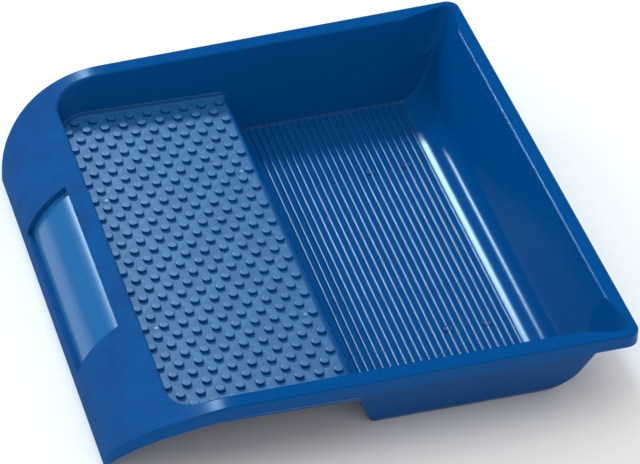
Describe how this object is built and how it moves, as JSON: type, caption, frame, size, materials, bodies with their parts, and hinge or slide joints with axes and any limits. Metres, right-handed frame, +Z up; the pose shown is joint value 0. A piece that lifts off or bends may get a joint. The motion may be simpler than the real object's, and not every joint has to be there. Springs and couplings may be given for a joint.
{
  "type": "paint roller tray",
  "caption": "Moulded roller tray with a ribbed well, a pimpled roll-off platform, pouring spouts and a rolled grip apron with an inset panel.",
  "frame": {"origin": "middle of the bottom of the bounding box, on the surface the tray stands on", "axes": "+Z up; +X towards the pouring end; Y along the roller, the tray is symmetric about Y = 0"},
  "size_m": [0.33, 0.3726, 0.06],
  "materials": {
    "tray_plastic": "satin moulded polypropylene, finely textured on the rim and apron",
    "panel_gloss": "polished"
  },
  "bodies": {
    "root": {"tray_shell": "tray_plastic", "grip_panel": "panel_gloss"}
  },
  "joints": []
}
